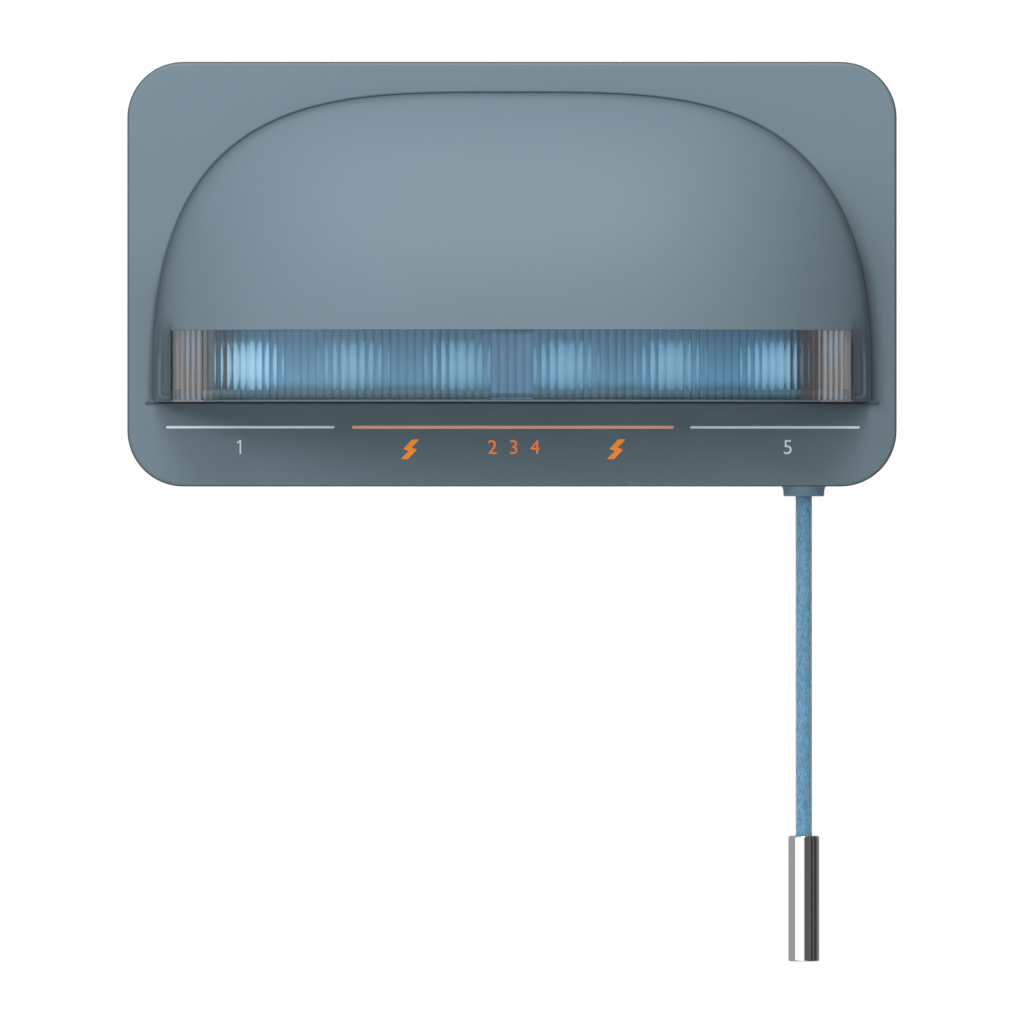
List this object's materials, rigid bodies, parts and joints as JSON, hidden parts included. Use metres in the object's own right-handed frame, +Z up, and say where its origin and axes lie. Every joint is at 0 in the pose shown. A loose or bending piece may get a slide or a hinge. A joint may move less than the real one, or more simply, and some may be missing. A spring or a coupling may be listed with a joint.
{
  "type": "uv toothbrush sterilizer",
  "caption": "Wall-mounted ultraviolet toothbrush sterilizer: rounded slab, domed hood with a lit ribbed window, keyhole brush slots below, and a pull-cord switch with a polished weight.",
  "frame": {"origin": "middle of the back of the adhesive pad, on the wall", "axes": "+X to the right as seen from the front, +Y into the wall, +Z up"},
  "size_m": [0.25, 0.0636, 0.2924],
  "materials": {
    "shell": "satin, finely textured, grey-blue",
    "window": "clear, pale blue, ribbed",
    "liner": "glossy grey-blue",
    "bracket": "satin grey",
    "lamp_dome": "frosted, lit pale blue",
    "emitter": "smooth white package",
    "board": "green solder mask",
    "black_plastic": "satin",
    "white_plastic": "satin",
    "lead": "matte sleeve",
    "plug_rubber": "matte grey-blue",
    "foam": "matte foam tape",
    "braid": "light blue braided cord",
    "steel": "plain",
    "polished": "mirror polished",
    "cell_can": "blue sleeve"
  },
  "bodies": {
    "wall_mount": {"adhesive_pad": "foam", "wall_plate": "black_plastic"},
    "unit": {"battery_cell_left": "cell_can", "battery_cell_right": "cell_can", "battery_cradle": "black_plastic", "battery_lead": "lead", "brush_tray": "shell", "case_screw_1": "steel", "case_screw_2": "steel", "case_screw_3": "steel", "case_screw_4": "steel", "case_screw_5": "steel", "case_screw_6": "steel", "case_screw_7": "steel", "case_screw_8": "steel", "chamber_liner": "liner", "charge_port": "steel", "collar_nut": "white_plastic", "cord_collar": "shell", "face_panel": "shell", "hood_shell": "shell", "lamp_board": "board", "lamp_board_screw_1": "steel", "lamp_board_screw_2": "steel", "lamp_lead": "lead", "lamp_lens_1": "lamp_dome", "lamp_lens_2": "lamp_dome", "lamp_lens_3": "lamp_dome", "lamp_lens_4": "lamp_dome", "lamp_lens_5": "lamp_dome", "lamp_lens_6": "lamp_dome", "main_board": "board", "main_board_screw_1": "steel", "main_board_screw_2": "steel", "micro_switch": "black_plastic", "rear_cover": "shell", "return_spring": "steel", "switch_housing": "white_plastic", "tray_screw_1": "steel", "tray_screw_2": "steel", "uv_emitter_1": "emitter", "uv_emitter_2": "emitter", "uv_emitter_3": "emitter", "uv_emitter_4": "emitter", "uv_emitter_5": "emitter", "uv_emitter_6": "emitter", "window_clamp_left": "bracket", "window_clamp_right": "bracket", "window_lens": "window", "window_post": "liner"},
    "pull": {"pull_slider": "white_plastic", "pull_cord": "braid", "cord_knot": "black_plastic", "pull_weight": "polished", "weight_plug": "polished"},
    "plunger": {"switch_plunger": "white_plastic"},
    "plug_flap": {"port_plug": "plug_rubber"}
  },
  "joints": [
    {"name": "lift_off", "type": "slide", "parent": "wall_mount", "child": "unit", "axis": [0, 0, 1], "range_m": [0, 0.006]},
    {"name": "cord_pull", "type": "slide", "parent": "unit", "child": "pull", "axis": [0, 0, -1], "range_m": [0, 0.005], "stiffness_N_per_m": 400, "springref_m": -0.004, "deforming": ["return_spring"]},
    {"name": "plunger_push", "type": "slide", "parent": "unit", "child": "plunger", "axis": [-1, 0, 0], "range_m": [0, 0.001]},
    {"name": "plug_swing", "type": "hinge", "parent": "unit", "child": "plug_flap", "pos_m": [-0.049, -0.009, -0.069], "axis": [0, 1, 0], "range_deg": [0, 120]}
  ],
  "couplings": [
    {"joint": "plunger_push", "follows": "cord_pull", "ratio": 0.2}
  ]
}
